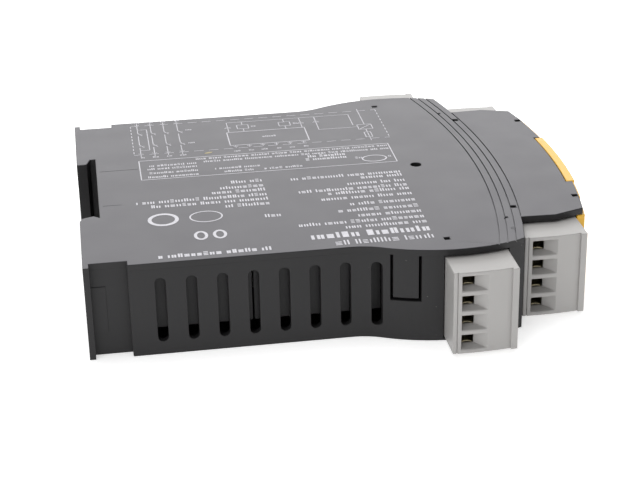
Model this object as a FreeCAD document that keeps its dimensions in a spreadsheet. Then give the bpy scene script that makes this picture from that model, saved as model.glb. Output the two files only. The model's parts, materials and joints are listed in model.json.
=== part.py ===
"""Slim DIN-rail safety relay, 22.5 mm wide, lying on its flat side.

+X runs from the rail side to the front, Y across the height of the unit and +Z through its width.
X = 0 is the rear plane of the housing, Y = 0 the centre of its height, Z = 0 the flat side it lies on.
"""
import FreeCAD, Part
import math
import os
import re
import Sketcher

# Driving sizes in millimetres: name, value, what it is.
SIZES = (
    # housing
    ("unit_width", 22.5, "width of the unit along the rail"),
    ("cover_thick", 1.5, "side cover plate"),
    ("floor_thick", 1.5, "flat side of the tub"),
    ("wall", 1.8, "moulded side walls"),
    ("half_height", 50.1, "centre to the widest point of the side walls"),
    ("rear_half", 44.5, "centre to the straight side walls"),
    ("flange_depth", 1.4, "rear lip behind the end recesses"),
    ("recess_end", 9.65, "front end of the end recesses"),
    ("recess_deep", 2.2, "depth of the end recesses"),
    ("ramp_radius", 15.2, "hollow curve where the side walls start to swell out"),
    ("bulge_radius", 38.1, "swelling of the side walls"),
    ("shoulder_half", 46.95, "centre to the shoulder corners"),
    ("step_radius", 207, "curve of the shoulder edge"),
    ("step_apex", 103.35, "front of the shoulder edge"),
    ("step_wall", 3.2, "wall behind the shoulder edge"),
    ("nose_half", 35.6, "centre to the nose walls at the shoulder"),
    ("nose_bend", 108.3, "where the nose walls start to close in"),
    ("nose_flare", 0.3, "widening of the nose up to that bend"),
    ("nose_tip_half", 33.4, "centre to the front corners"),
    ("front_radius", 176, "curve of the front"),
    ("front_apex", 118.75, "front edge of the side plates"),
    ("rear_skin", 6.5, "rear plane to the inside of the tub"),
    # rail seat
    ("rail_depth", 4.7, "rear plane to the rail seat"),
    ("hook_edge", 16.6, "centre to the edge of the fixed hook"),
    ("hook_lip", 2.5, "thickness of the fixed hook"),
    ("hook_under", 3.3, "undercut of the fixed hook"),
    ("seat_edge", 17.3, "centre to the other end of the rail seat"),
    ("hook_draft", 0.2, "slope of the rail seat's mouth"),
    ("hook_slope", 0.9, "slope of the fixed hook's inner side"),
    ("guide_high", 1.2, "small guide nose at the other end"),
    ("guide_tip", 1.5, "rail seat to the tip of the guide nose"),
    ("guide_rear", 0.6, "rear plane to the guide nose"),
    ("mouth_slope", 1.4, "lead-in of the rail seat's mouth"),
    # vents
    ("vent_first", 16.57, "centre of the first vent slot"),
    ("vent_step", 6.87, "step between vent slots"),
    ("vent_count", 8, "vent slots in each side wall"),
    ("vent_wide", 2.35, "width of a vent slot"),
    ("vent_low", 3.0, "lower end of the vent slots"),
    ("vent_high", 18.9, "upper end of the vent slots"),
    ("vent_ease", 0.01, "vent ends a little flatter than a half circle"),
    # snap tabs of the side cover
    ("tab_start", 67.4, "rear side of the wall cut-outs"),
    ("tab_end", 74.1, "front side of the wall cut-outs"),
    ("tab_low", 9.8, "lower end of the wall cut-outs"),
    ("tab_gap", 0.65, "groove around each snap tab"),
    ("tab_inset", 0.1, "snap tabs behind the wall's face"),
    # side cover details
    ("groove_wide", 0.3, "width of the decorative grooves"),
    ("groove_deep", 0.3, "depth of the decorative grooves"),
    ("groove_step", 1.85, "step between the decorative grooves"),
    ("groove_count", 4, "decorative grooves"),
    ("groove_end", 0.5, "plain margin at the ends of the foremost groove"),
    ("slot_side", 1.3, "square mould openings over the catches"),
    ("dot_side", 0.7, "small mould openings among the grooves"),
    ("shoulder_catch", 1.65, "rear side of the shoulder plugs to their catch opening"),
    ("shoulder_catch_in", 0.5, "side wall to that opening"),
    ("dot_along", 2.3, "front plugs to the small openings behind them"),
    ("dot_in", 0.4, "nose wall to the small openings"),
    ("nose_catch", 0.9, "rear side of the nose plugs to their catch opening"),
    ("nose_catch_in", 6.1, "nose wall to that opening"),
    ("tip_catch", 0.95, "front edge to the foremost opening"),
    ("tip_catch_in", 7.6, "front corner to that opening"),
    ("pin_hole", 1.3, "radius of the round hole in the side plate"),
    ("pin_hole_along", 83.2, "its place along the unit"),
    ("pin_hole_out", 0.6, "its place across the unit"),
    # front cover
    ("front_proud", 0.6, "front cover beyond the side plates"),
    ("front_skin", 2.0, "front cover thickness"),
    ("front_gap", 0.3, "gap behind the front cover"),
    ("front_seat", 0.2, "gap around its full-width middle part"),
    ("front_tab_near", 17.0, "near end of its full-width middle part"),
    ("front_tab_far", 12.5, "far end of its full-width middle part"),
    ("leg_out", 19.0, "centre to each snap leg of the front cover"),
    ("leg_thick", 1.4, "thickness of a snap leg"),
    ("leg_wide", 6.0, "width of a snap leg"),
    ("leg_long", 5.0, "length of a snap leg"),
    ("window_half", 13.5, "half height of the service window"),
    ("window_low", 4.0, "lower edge of the service window"),
    ("window_high", 18.2, "upper edge of the service window"),
    # plugs
    ("plug_deep", 14.65, "plug from its rear to its screw side"),
    ("plug_long", 16.0, "plug from its wire face to its contact face"),
    ("plug_wide", 19.8, "plug across its four poles"),
    ("plug_gap", 0.25, "clearance around a plug in its bay"),
    ("bay_floor", 0.5, "skin left under a plug bay"),
    ("rear_plug_start", 79.25, "rear side of the plugs at the shoulder"),
    ("rear_plug_face", 58.5, "centre to the wire face of those plugs"),
    ("front_plug_start", 99.1, "rear side of the plugs at the nose"),
    ("front_plug_face", 43.65, "centre to the wire face of those plugs"),
    ("pole_pitch", 4.75, "step between poles"),
    ("pole_count", 4, "poles in a plug"),
    ("face_drop_rear", 0.35, "curved wire face falls back at its rear side"),
    ("face_drop_front", 0.75, "and at its front side"),
    ("face_radius", 70, "curve of the wire face"),
    ("rib_wide", 1.5, "raised rib along the screw side"),
    ("rib_drop", 0.2, "rib behind the furthest point of the wire face"),
    ("rib_slope", 0.1, "slope of the rib's face"),
    ("line_start", 0.85, "rear side of the fine groove in the wire face"),
    ("line_wide", 0.15, "width of that groove"),
    ("line_deep", 0.2, "depth of that groove"),
    ("funnel_start", 1.85, "rear side of the wire funnels"),
    ("funnel_deep", 6.4, "wire funnels from rear to front"),
    ("funnel_high", 3.8, "wire funnels across a pole"),
    ("funnel_depth", 2.2, "depth of the funnels"),
    ("entry_deep", 3.2, "wire entry from rear to front"),
    ("entry_high", 2.8, "wire entry across a pole"),
    ("entry_inset", 0.1, "wire entry inside the funnel's rear side"),
    ("entry_rise", 0.2, "wire entry above the middle of its pole"),
    ("clamp_start", 1.8, "rear side of the clamp cages"),
    ("clamp_deep", 7.4, "clamp cage from rear to front"),
    ("clamp_wide", 3.5, "clamp cage across a pole"),
    ("clamp_from", 3.0, "wire face to the clamp cages"),
    ("clamp_long", 4.8, "clamp cage along the wire"),
    ("clamp_wall", 0.6, "sheet of the clamp cage"),
    ("clamp_nut", 3.0, "threaded side of the clamp cage"),
    ("clamp_gap", 0.3, "clearance around a clamp cage"),
    ("screw_radius", 1.3, "clamp screw"),
    ("screw_sunk", 2.7, "clamp screw below the front side of the plug"),
    ("driver_slot", 0.6, "width of the screwdriver slot"),
    ("driver_deep", 0.9, "depth of the screwdriver slot"),
    ("screw_fit", 0.05, "clearance of the screw in its cage"),
    ("bore_gap", 0.25, "clearance of the screw in its bore"),
    ("fork_wide", 2.8, "contact fork from rear to front"),
    ("fork_long", 6.6, "contact fork beyond its cage"),
    ("fork_thick", 0.7, "blade of the contact fork"),
    # headers
    ("contact_side", 1.0, "square contact pins"),
    ("contact_gap", 0.1, "clearance of a pin in its fork and header"),
    ("contact_along", 4.4, "plug rear to the middle of the pins"),
    ("contact_reach", 6.4, "pin length inside the plug"),
    ("header_gap", 0.3, "gap between plug and header"),
    ("header_thick", 3.0, "header along the pins"),
    ("header_inset", 1.5, "header shorter than the plug at each side"),
    ("tail_reach", 21.8, "wire face to the first pin tail"),
    ("tail_step", 2.0, "step between pin tails"),
    ("tail_proud", 0.5, "pin tails beyond the board"),
    # rail latch
    ("latch_front", 4.1, "front side of the latch"),
    ("latch_thick", 2.4, "latch from rear to front"),
    ("latch_low", 6.3, "lower side of the latch"),
    ("latch_wide", 9.9, "latch through the unit"),
    ("latch_gap", 0.3, "clearance around the latch"),
    ("latch_tooth", 15.2, "centre to the tip of the latch"),
    ("tooth_back", 0.6, "tip of the latch behind its front side"),
    ("tooth_lead", 0.5, "lead-in of the tip along the unit"),
    ("tooth_ramp", 1.2, "lead-in of the tip across the unit"),
    ("tooth_root", 0.4, "root of the tip inside the rail seat's end"),
    ("spring_inset", 8.0, "rear side wall to the face the spring stands on"),
    ("spring_long", 8.9, "length of the latch spring"),
    ("seat_thick", 1.5, "post the spring stands on"),
    ("spring_wide", 6.0, "width of the spring strip"),
    ("spring_band", 0.6, "spring strip measured through the latch"),
    ("spring_legs", 7, "legs of the folded spring"),
    # boards and what they carry
    ("board_thick", 1.6, "circuit board"),
    ("solder_room", 0.9, "gap between board and side cover"),
    ("board_start", 8.0, "rear edge of the board"),
    ("board_step", 96.0, "where the board narrows"),
    ("board_front", 113.0, "front edge of the board"),
    ("board_reach", 20.0, "wire face of a plug to the board edge"),
    ("post_side", 4.0, "square posts under the board"),
    ("post_rear", 13.0, "rear posts"),
    ("post_front", 70.0, "front posts"),
    ("post_out", 34.5, "centre to the posts"),
    ("relay_long", 40.0, "switching relay length"),
    ("relay_wide", 13.0, "switching relay width"),
    ("relay_high", 16.0, "switching relay height"),
    ("relay_first", 18.0, "rear side of the first switching relay"),
    ("relay_step", 18.0, "step between the switching relays"),
    ("core_start", 56.0, "rear side of the transformer core"),
    ("core_long", 34.0, "transformer core length"),
    ("core_wide", 28.0, "transformer core width"),
    ("core_high", 8.0, "transformer core stack"),
    ("core_limb", 5.0, "outer limbs of the core"),
    ("core_middle", 8.0, "middle limb of the core"),
    ("coil_high", 15.5, "transformer coil height"),
    ("coil_gap", 0.2, "clearance of the coil in its core"),
    ("capacitor_radius", 6.3, "electrolytic capacitor radius"),
    ("capacitor_high", 15.0, "electrolytic capacitor height"),
    ("capacitor_along", 64.0, "capacitor along the unit"),
    ("capacitor_out", 24.0, "centre to the capacitor"),
    ("varistor_long", 10.0, "boxed varistor along the unit"),
    ("varistor_wide", 4.4, "boxed varistor across the unit"),
    ("varistor_high", 9.0, "boxed varistor height"),
    ("varistor_along", 76.0, "rear side of the varistor"),
    ("varistor_out", 23.0, "centre to the varistor"),
    ("chip_long", 10.0, "integrated circuit length"),
    ("chip_wide", 6.2, "integrated circuit width"),
    ("chip_high", 2.2, "integrated circuit height"),
    ("chip_gap", 2.0, "gap between the relays and the integrated circuits"),
    ("fuse_start", 97.5, "rear side of the fuse"),
    ("fuse_deep", 4.0, "boxed fuse along the unit"),
    ("fuse_wide", 8.5, "boxed fuse across the unit"),
    ("fuse_high", 7.7, "boxed fuse height"),
    ("switch_start", 105.5, "rear side of the setting switch"),
    ("switch_deep", 7.0, "setting switch from rear to front"),
    ("switch_out", 8.0, "centre to the middle of the setting switch"),
    ("switch_wide", 7.6, "setting switch width"),
    ("switch_high", 6.6, "setting switch height"),
    ("slider_step", 3.6, "step between the two sliders"),
    ("slider_wide", 1.4, "slider width"),
    ("slider_high", 2.0, "slider height"),
    ("slider_deep", 1.6, "slider inside the switch"),
    ("slider_proud", 0.9, "slider in front of the switch"),
    ("slider_travel", 1.5, "slider travel"),
    ("slider_gap", 0.2, "clearance around a slider"),
    ("lamp_first", 0.0, "first indicator lamp across the unit"),
    ("lamp_step", 4.6, "step between indicator lamps"),
    ("lamp_count", 3, "indicator lamps"),
    ("lamp_start", 108.0, "rear side of the lamps"),
    ("lamp_deep", 3.4, "lamp body length"),
    ("lamp_side", 3.4, "lamp body width"),
    ("pipe_side", 2.2, "square light pipes"),
    ("pipe_gap", 0.3, "clearance of the light pipes"),
)
NAMES = {name for name, size, meaning in SIZES}

doc = FreeCAD.newDocument("safety_relay")
sheet = doc.addObject("Spreadsheet::Sheet", "Sizes")
for row, (name, size, meaning) in enumerate(SIZES, start=1):
    sheet.set(f"A{row}", name)
    sheet.set(f"B{row}", str(size))
    sheet.set(f"C{row}", meaning)
    sheet.setAlias(f"B{row}", name)
doc.recompute()

finished = []


# ---------------------------------------------------------------- formulas and helpers

def bound(formula):
    """The formula with each size name pointing into the sheet."""
    return re.sub(r"[a-z]\w*", lambda word: "Sizes." * (word.group() in NAMES) + word.group(), formula)


def number(formula):
    """The present value of a formula."""
    return float(sheet.evalExpression(bound(formula)))


def keep(thing, label):
    """Name a finished sub-part after the node it makes."""
    thing.Label = label
    finished.append(thing)
    return thing


def new_body(name):
    return doc.addObject("PartDesign::Body", name)


def sketch_on(body, role, name, lift="0", shift="0"):
    """A sketch on one of the body's origin planes, raised along its normal and shifted up its own Y."""
    plane = next(feature for feature in body.Origin.OriginFeatures if feature.Role == role)
    sketch = body.newObject("Sketcher::SketchObject", name)
    sketch.AttachmentSupport = [(plane, "")]
    sketch.MapMode = "FlatFace"
    sketch.setExpression("AttachmentOffset.Base.z", bound(lift))
    sketch.setExpression("AttachmentOffset.Base.y", bound(shift))
    return sketch


def pin_down(sketch, kind, places, formula):
    """One dimension of a sketch, bound to the sheet."""
    index = sketch.addConstraint(Sketcher.Constraint(kind, *places, number(formula)))
    sketch.setExpression(f"Constraints[{index}]", bound(formula))


def draw(sketch, corners):
    """A closed outline. A corner is (across, up), or (across, up, radius, turn) where an arc runs to the next
    corner: turn 1 bends to the left, -1 to the right."""
    first = sketch.GeometryCount
    ends = []
    for here, there in zip(corners, corners[1:] + corners[:1]):
        start = FreeCAD.Vector(number(here[0]), number(here[1]))
        end = FreeCAD.Vector(number(there[0]), number(there[1]))
        if len(here) == 2:
            sketch.addGeometry(Part.LineSegment(start, end))
            ends.append((1, 2))
            continue
        radius, turn = number(here[2]), here[3]
        chord = end - start
        left = FreeCAD.Vector(-chord.y, chord.x).normalize()
        centre = (start + end) / 2 + left * turn * math.sqrt(radius ** 2 - (chord.Length / 2) ** 2)
        angles = [math.atan2(point.y - centre.y, point.x - centre.x) for point in (start, end)]
        circle = Part.Circle(centre, FreeCAD.Vector(0, 0, 1), radius)
        sketch.addGeometry(Part.ArcOfCircle(circle, *angles[::turn]))
        ends.append((1, 2)[::turn])
    count = len(corners)
    for index, corner in enumerate(corners):
        after = (index + 1) % count
        edge = first + index
        sketch.addConstraint(
            Sketcher.Constraint("Coincident", edge, ends[index][1], first + after, ends[after][0]))
        pin_down(sketch, "DistanceX", (-1, 1, edge, ends[index][0]), corner[0])
        pin_down(sketch, "DistanceY", (-1, 1, edge, ends[index][0]), corner[1])
        if len(corner) > 2:
            pin_down(sketch, "Radius", (edge,), corner[2])


def rectangle(left, low, right, high):
    return [(left, low), (right, low), (right, high), (left, high)]


def draw_circle(sketch, across, up, radius):
    centre = FreeCAD.Vector(number(across), number(up))
    circle = Part.Circle(centre, FreeCAD.Vector(0, 0, 1), number(radius))
    index = sketch.addGeometry(circle)
    pin_down(sketch, "DistanceX", (-1, 1, index, 3), across)
    pin_down(sketch, "DistanceY", (-1, 1, index, 3), up)
    pin_down(sketch, "Radius", (index,), radius)


def extrude(body, kind, sketch, name, length, reverse=False, both=False):
    """A Pad or a Pocket of a sketch."""
    feature = body.newObject("PartDesign::" + kind, name)
    feature.Profile = sketch
    feature.setExpression("Length", bound(length))
    feature.Reversed = reverse
    if both:
        feature.SideType = "Symmetric"
    body.Tip = feature
    return feature


def pad(body, sketch, name, length, reverse=False, both=False):
    return extrude(body, "Pad", sketch, name, length, reverse, both)


def pocket(body, sketch, name, length, reverse=False, both=False):
    return extrude(body, "Pocket", sketch, name, length, reverse, both)


def repeat(body, features, direction, step, count, name):
    """Copies of some features at even steps."""
    pattern = body.newObject("PartDesign::LinearPattern", name)
    pattern.Originals = features
    pattern.Direction = direction
    pattern.setExpression("Length", bound(f"({step}) * ({count} - 1)"))
    pattern.setExpression("Occurrences", bound(count))
    body.Tip = pattern
    return pattern


def block(name, low, high):
    """A box between two corners."""
    box = doc.addObject("Part::Box", name)
    for edge, axis, start, end in zip(("Length", "Width", "Height"), "xyz", low, high):
        box.setExpression(edge, bound(f"({end}) - ({start})"))
        box.setExpression("Placement.Base." + axis, bound(start))
    return box


AXES = {
    "x": FreeCAD.Rotation(FreeCAD.Vector(0, 1, 0), 90),
    "y": FreeCAD.Rotation(FreeCAD.Vector(1, 0, 0), -90),
    "z": FreeCAD.Rotation(),
}


def rod(name, axis, start, radius, length):
    """A cylinder from its start point along +axis."""
    cylinder = doc.addObject("Part::Cylinder", name)
    cylinder.Placement = FreeCAD.Placement(FreeCAD.Vector(), AXES[axis])
    cylinder.setExpression("Radius", bound(radius))
    cylinder.setExpression("Height", bound(length))
    for letter, place in zip("xyz", start):
        cylinder.setExpression("Placement.Base." + letter, bound(place))
    return cylinder


def join(name, pieces):
    fusion = doc.addObject("Part::MultiFuse", name)
    fusion.Shapes = pieces
    return fusion


def group(name, pieces):
    """Separate solids kept together."""
    compound = doc.addObject("Part::Compound", name)
    compound.Links = pieces
    return compound


def cut(name, base, tool):
    difference = doc.addObject("Part::Cut", name)
    difference.Base = base
    difference.Tool = tool
    return difference


def mirrored(name, source):
    """The same piece on the far side of the centre plane."""
    mirror = doc.addObject("Part::Mirroring", name)
    mirror.Source = source
    mirror.Normal = FreeCAD.Vector(0, 1, 0)
    return mirror


# ---------------------------------------------------------------- the housing's outline

def on_step(half):
    """How far forward the shoulder edge is at a distance from the centre."""
    return f"(step_apex - step_radius + sqrt(step_radius^2 - ({half})^2))"


def on_front(apex, half, radius="front_radius"):
    """How far forward a curved front is at a distance from the centre."""
    return f"({apex} - {radius} + sqrt({radius}^2 - ({half})^2))"


TUB_HIGH = "(unit_width - cover_thick)"
SPRING_SEAT = "(rear_half - spring_inset)"
FRONT_OUTER = "(front_apex + front_proud)"
FRONT_INNER = f"({FRONT_OUTER} - front_skin)"
TUB_APEX = f"({FRONT_INNER} - front_gap)"
BULGE_ACROSS = "(half_height - bulge_radius)"
BULGE_RISE = f"(rear_half - {BULGE_ACROSS})"
BULGE_ALONG = f"({on_step('shoulder_half')} - sqrt(bulge_radius^2 - (shoulder_half - {BULGE_ACROSS})^2))"
RAMP_RUN = f"sqrt((bulge_radius + ramp_radius)^2 - ({BULGE_RISE} + ramp_radius)^2)"
RAMP_START = f"({BULGE_ALONG} - {RAMP_RUN})"


def ramp_end(inset):
    """Where the hollow ramp arc runs into the bulge arc, both moved in by the inset."""
    share = f"((bulge_radius - ({inset})) / (bulge_radius + ramp_radius))"
    along = f"{BULGE_ALONG} - {RAMP_RUN} * {share}"
    across = f"{BULGE_ACROSS} + ({BULGE_RISE} + ramp_radius) * {share}"
    return along, across


def on_bulge(along, inset):
    """Distance from the centre to the bulge, moved in by the inset."""
    return f"({BULGE_ACROSS} + sqrt((bulge_radius - ({inset}))^2 - ({along} - {BULGE_ALONG})^2))"


def outer_half(apex):
    """Half of the housing's outline, from the rear corner to the front corner, as (along, from centre)."""
    return [
        ("0", "rear_half"),
        ("flange_depth", "rear_half"),
        ("flange_depth", "rear_half - recess_deep"),
        ("recess_end", "rear_half - recess_deep"),
        ("recess_end", "rear_half"),
        (RAMP_START, "rear_half", "ramp_radius", -1),
        (*ramp_end("0"), "bulge_radius", 1),
        (on_step("shoulder_half"), "shoulder_half", "step_radius", 1),
        (on_step("nose_half"), "nose_half"),
        ("nose_bend", "nose_half + nose_flare"),
        (on_front(apex, "nose_tip_half"), "nose_tip_half"),
    ]


def inner_half():
    """Half of the tub's inside, a wall's thickness within its outline."""
    shoulder = f"({on_step('shoulder_half')} - step_wall)"
    return [
        ("rear_skin", "rear_half - recess_deep - wall"),
        ("recess_end + wall", "rear_half - recess_deep - wall"),
        ("recess_end + wall", "rear_half - wall"),
        (RAMP_START, "rear_half - wall", "ramp_radius + wall", -1),
        (*ramp_end("wall"), "bulge_radius - wall", 1),
        (shoulder, on_bulge(shoulder, "wall"), "step_radius", 1),
        (f"{on_step('nose_half - wall')} - step_wall", "nose_half - wall"),
        ("nose_bend - wall / 2", "nose_half + nose_flare - wall"),
        (f"{on_front(TUB_APEX, 'nose_tip_half - wall')} - wall", "nose_tip_half - wall"),
    ]


def near_side(half):
    return [(along, f"-({across})", *arc) for along, across, *arc in half]


def far_side(half):
    """The half outline mirrored, and run from the front to the rear."""
    arcs = [corner[2:] for corner in half]
    return [(*corner[:2], *arc) for corner, arc in zip(half[::-1], arcs[-2::-1] + [()])]


def rail_notch():
    """The rail seat, from the far rear corner to the near one: fixed hook, seat and guide nose."""
    return [
        ("0", "hook_edge"),
        ("hook_lip", "hook_edge + hook_draft"),
        ("hook_lip + hook_slope", "hook_edge + hook_under"),
        ("rail_depth", "hook_edge + hook_under"),
        ("rail_depth", "-seat_edge"),
        ("rail_depth - guide_tip", "-seat_edge + guide_high"),
        ("guide_rear", "-seat_edge + hook_draft"),
        ("0", "-seat_edge - mouth_slope"),
    ]


def plate_outline():
    """Side plate: the whole outline, set back in the middle of the front for the front cover."""
    near, far = near_side(outer_half("front_apex")), far_side(outer_half("front_apex"))
    near_edge, far_edge = "(front_tab_near + front_seat)", "(front_tab_far + front_seat)"
    set_back = f"({FRONT_INNER} - front_seat)"
    near[-1] += ("front_radius", 1)
    middle = [
        (on_front("front_apex", near_edge), "-" + near_edge),
        (on_front(set_back, near_edge), "-" + near_edge, "front_radius", 1),
        (on_front(set_back, far_edge), far_edge),
        (on_front("front_apex", far_edge), far_edge, "front_radius", 1),
    ]
    return near + middle + far + rail_notch()


def wall_outline():
    """The walls' outline: as the plates, but the whole front stands behind the front cover."""
    near, far = near_side(outer_half(TUB_APEX)), far_side(outer_half(TUB_APEX))
    near[-1] += ("front_radius", 1)
    return near + far + rail_notch()


def cavity_outline():
    near, far = near_side(inner_half()), far_side(inner_half())
    near[-1] += ("front_radius", 1)
    return near + far


# ---------------------------------------------------------------- housing

LEVELS = {
    "rear": ("rear_plug_start", "rear_plug_face"),
    "front": ("front_plug_start", "front_plug_face"),
}


def make_base_shell():
    body = new_body("BaseShell")
    floor = sketch_on(body, "XY_Plane", "FloorOutline")
    draw(floor, plate_outline())
    pad(body, floor, "Floor", "floor_thick")
    walls = sketch_on(body, "XY_Plane", "WallOutline")
    draw(walls, wall_outline())
    pad(body, walls, "Walls", TUB_HIGH)
    inside = sketch_on(body, "XY_Plane", "Inside", lift=TUB_HIGH)
    draw(inside, cavity_outline())
    pocket(body, inside, "Cavity", f"{TUB_HIGH} - floor_thick")

    vent = sketch_on(body, "XZ_Plane", "VentOutline")
    left, right = "vent_first - vent_wide / 2", "vent_first + vent_wide / 2"
    low, high = "vent_low + vent_wide / 2", "vent_high - vent_wide / 2"
    round_end = "vent_wide / 2 + vent_ease"
    draw(vent, [(left, high), (left, low, round_end, 1), (right, low), (right, high, round_end, 1)])
    slot = pocket(body, vent, "Vent", "4 * half_height", both=True)
    repeat(body, [slot], (vent, ["H_Axis"]), "vent_step", "vent_count", "Vents")

    tabs = sketch_on(body, "XZ_Plane", "TabCutOuts")
    draw(tabs, rectangle("tab_start", "tab_low", "tab_end", "unit_width"))
    pocket(body, tabs, "TabWindows", "4 * half_height", both=True)

    for level, (start, face) in LEVELS.items():
        bay = sketch_on(body, "XY_Plane", f"Bay{level}", lift="bay_floor")
        for sign in ("-", ""):
            ends = [f"{sign}(half_height + plug_long)", f"{sign}({face} - plug_long - plug_gap)"]
            low, high = ends if sign else ends[::-1]
            draw(bay, rectangle(f"{start} - plug_gap", low, f"{start} + plug_deep + plug_gap", high))
        pocket(body, bay, f"Bays{level}", "unit_width", reverse=True)

    front = sketch_on(body, "YZ_Plane", "FrontOpenings", lift="front_apex")
    draw(front, rectangle("-window_half", "window_low", "window_half", "window_high"))
    for sign in ("-", ""):
        middle = f"{sign}leg_out"
        draw(front, rectangle(f"{middle} - leg_thick / 2 - front_gap", "unit_width / 2 - leg_wide / 2 - front_gap",
                              f"{middle} + leg_thick / 2 + front_gap", "unit_width / 2 + leg_wide / 2 + front_gap"))
    pocket(body, front, "ServiceWindow", "front_apex - board_front + wall")

    posts = sketch_on(body, "XY_Plane", "PostOutlines", lift="floor_thick")
    for along in ("post_rear", "post_front"):
        for sign in ("-", ""):
            draw(posts, rectangle(f"{along} - post_side / 2", f"{sign}post_out - post_side / 2",
                                  f"{along} + post_side / 2", f"{sign}post_out + post_side / 2"))
    pad(body, posts, "Posts", f"{TUB_HIGH} - solder_room - board_thick - floor_thick")

    channel = sketch_on(body, "XY_Plane", "LatchChannel", lift="latch_low - latch_gap")
    rear = "latch_front - latch_thick - latch_gap"
    draw(channel, rectangle(rear, "-rear_half", "latch_front + latch_gap", "-seat_edge + 2 * guide_high"))
    pocket(body, channel, "Channel", "latch_wide + 2 * latch_gap", reverse=True)
    seat = sketch_on(body, "XY_Plane", "SpringPost", lift="latch_low + (latch_wide - spring_wide) / 2")
    draw(seat, rectangle(rear, f"-{SPRING_SEAT} - seat_thick", "latch_front + latch_gap", f"-{SPRING_SEAT}"))
    pad(body, seat, "SpringSeat", "spring_wide")
    return keep(body, "base_shell")


def make_side_cover():
    body = new_body("SideCover")
    plate = sketch_on(body, "XY_Plane", "PlateOutline", lift=TUB_HIGH)
    draw(plate, plate_outline())
    pad(body, plate, "Plate", "cover_thick")

    lines = sketch_on(body, "XY_Plane", "GrooveLines", lift="unit_width")
    for index in range(int(number("groove_count"))):
        radius = f"(step_radius - groove_step * {index})"
        inner = f"({radius} - groove_wide)"
        half = "half_height" if index else "(nose_half - groove_end)"
        centre = "step_apex - step_radius"
        draw(lines, [
            (f"{centre} + sqrt({radius}^2 - {half}^2)", f"-{half}", radius, 1),
            (f"{centre} + sqrt({radius}^2 - {half}^2)", half),
            (f"{centre} + sqrt({inner}^2 - {half}^2)", half, inner, -1),
            (f"{centre} + sqrt({inner}^2 - {half}^2)", f"-{half}"),
        ])
    pocket(body, lines, "Grooves", "groove_deep")

    holes = sketch_on(body, "XY_Plane", "PlateOpenings", lift="unit_width")
    squares = [
        ("rear_plug_start + shoulder_catch", "rear_half - shoulder_catch_in", "slot_side"),
        ("front_plug_start - dot_along", "nose_half - dot_in", "dot_side"),
        ("front_plug_start + nose_catch", "nose_half - nose_catch_in", "slot_side"),
        (on_front("front_apex", "nose_tip_half - tip_catch_in") + " - tip_catch", "nose_tip_half - tip_catch_in",
         "slot_side"),
    ]
    for along, out, side in squares:
        for sign in ("-", ""):
            middle = f"{sign}({out})"
            draw(holes, rectangle(f"{along} - {side} / 2", f"{middle} - {side} / 2",
                                  f"{along} + {side} / 2", f"{middle} + {side} / 2"))
    draw_circle(holes, "pin_hole_along", "pin_hole_out", "pin_hole")
    pocket(body, holes, "Openings", "2 * cover_thick")

    for sign, label in (("-", "Near"), ("", "Far")):
        tab = sketch_on(body, "XY_Plane", f"Tab{label}", lift=TUB_HIGH)
        start, end = "(tab_start + tab_gap)", "(tab_end - tab_gap)"
        turn = 1 if sign else -1
        outer, inner = "tab_inset", "wall"
        draw(tab, [
            (start, f"{sign}{on_bulge(start, outer)}", f"bulge_radius - {outer}", turn),
            (end, f"{sign}{on_bulge(end, outer)}"),
            (end, f"{sign}{on_bulge(end, inner)}", f"bulge_radius - {inner}", -turn),
            (start, f"{sign}{on_bulge(start, inner)}"),
        ])
        pad(body, tab, f"SnapTab{label}", f"{TUB_HIGH} - tab_low - tab_gap", reverse=True)
    return keep(body, "side_cover")


def make_front_cover():
    """Snap-on front: a curved skin between the side plates, its middle reaching out over both of them."""
    body = new_body("FrontCover")

    def skin(near, far):
        return [
            (on_front(FRONT_OUTER, near), f"-{near}", "front_radius", 1),
            (on_front(FRONT_OUTER, far), far),
            (on_front(FRONT_INNER, far), far, "front_radius", -1),
            (on_front(FRONT_INNER, near), f"-{near}"),
        ]

    main = sketch_on(body, "XY_Plane", "SkinOutline", lift="floor_thick + plug_gap")
    draw(main, skin("nose_tip_half", "nose_tip_half"))
    pad(body, main, "Skin", f"{TUB_HIGH} - floor_thick - 2 * plug_gap")
    middle = sketch_on(body, "XY_Plane", "MiddleOutline")
    draw(middle, skin("front_tab_near", "front_tab_far"))
    pad(body, middle, "Middle", "unit_width")
    legs = sketch_on(body, "YZ_Plane", "LegOutlines", lift=on_front(FRONT_INNER, "leg_out - leg_thick"))
    for sign in ("-", ""):
        draw(legs, rectangle(f"{sign}leg_out - leg_thick / 2", "unit_width / 2 - leg_wide / 2",
                             f"{sign}leg_out + leg_thick / 2", "unit_width / 2 + leg_wide / 2"))
    pad(body, legs, "Legs", "leg_long", reverse=True)
    lamps = sketch_on(body, "YZ_Plane", "LampHole", lift=FRONT_OUTER)
    half = "(pipe_side / 2 + pipe_gap)"
    draw(lamps, rectangle(f"lamp_first - {half}", f"{LAMP_LEVEL} - {half}",
                          f"lamp_first + {half}", f"{LAMP_LEVEL} + {half}"))
    hole = pocket(body, lamps, "LampOpening", "2 * front_skin")
    repeat(body, [hole], (lamps, ["H_Axis"]), "lamp_step", "lamp_count", "LampOpenings")
    return keep(body, "front_cover")


# ---------------------------------------------------------------- plugs

FIRST_POLE = "(-pole_pitch * (pole_count - 1) / 2)"
SCREW_ACROSS = "(clamp_from + clamp_long / 2)"
PLUG_LEVEL = "(bay_floor + plug_gap + plug_wide / 2)"
CLAMP_END = "(clamp_start + clamp_deep)"


def place_at_plug(piece, level, far):
    """Put a piece that is modelled from a plug's rear wire-face corner onto one of the four plugs."""
    start, face = LEVELS[level]
    if far:
        piece.Placement = FreeCAD.Placement(FreeCAD.Vector(), FreeCAD.Rotation(FreeCAD.Vector(1, 0, 0), 180))
    piece.setExpression("Placement.Base.x", bound(start))
    piece.setExpression("Placement.Base.y", bound(face if far else f"-{face}"))
    piece.setExpression("Placement.Base.z", bound(PLUG_LEVEL))


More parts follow.
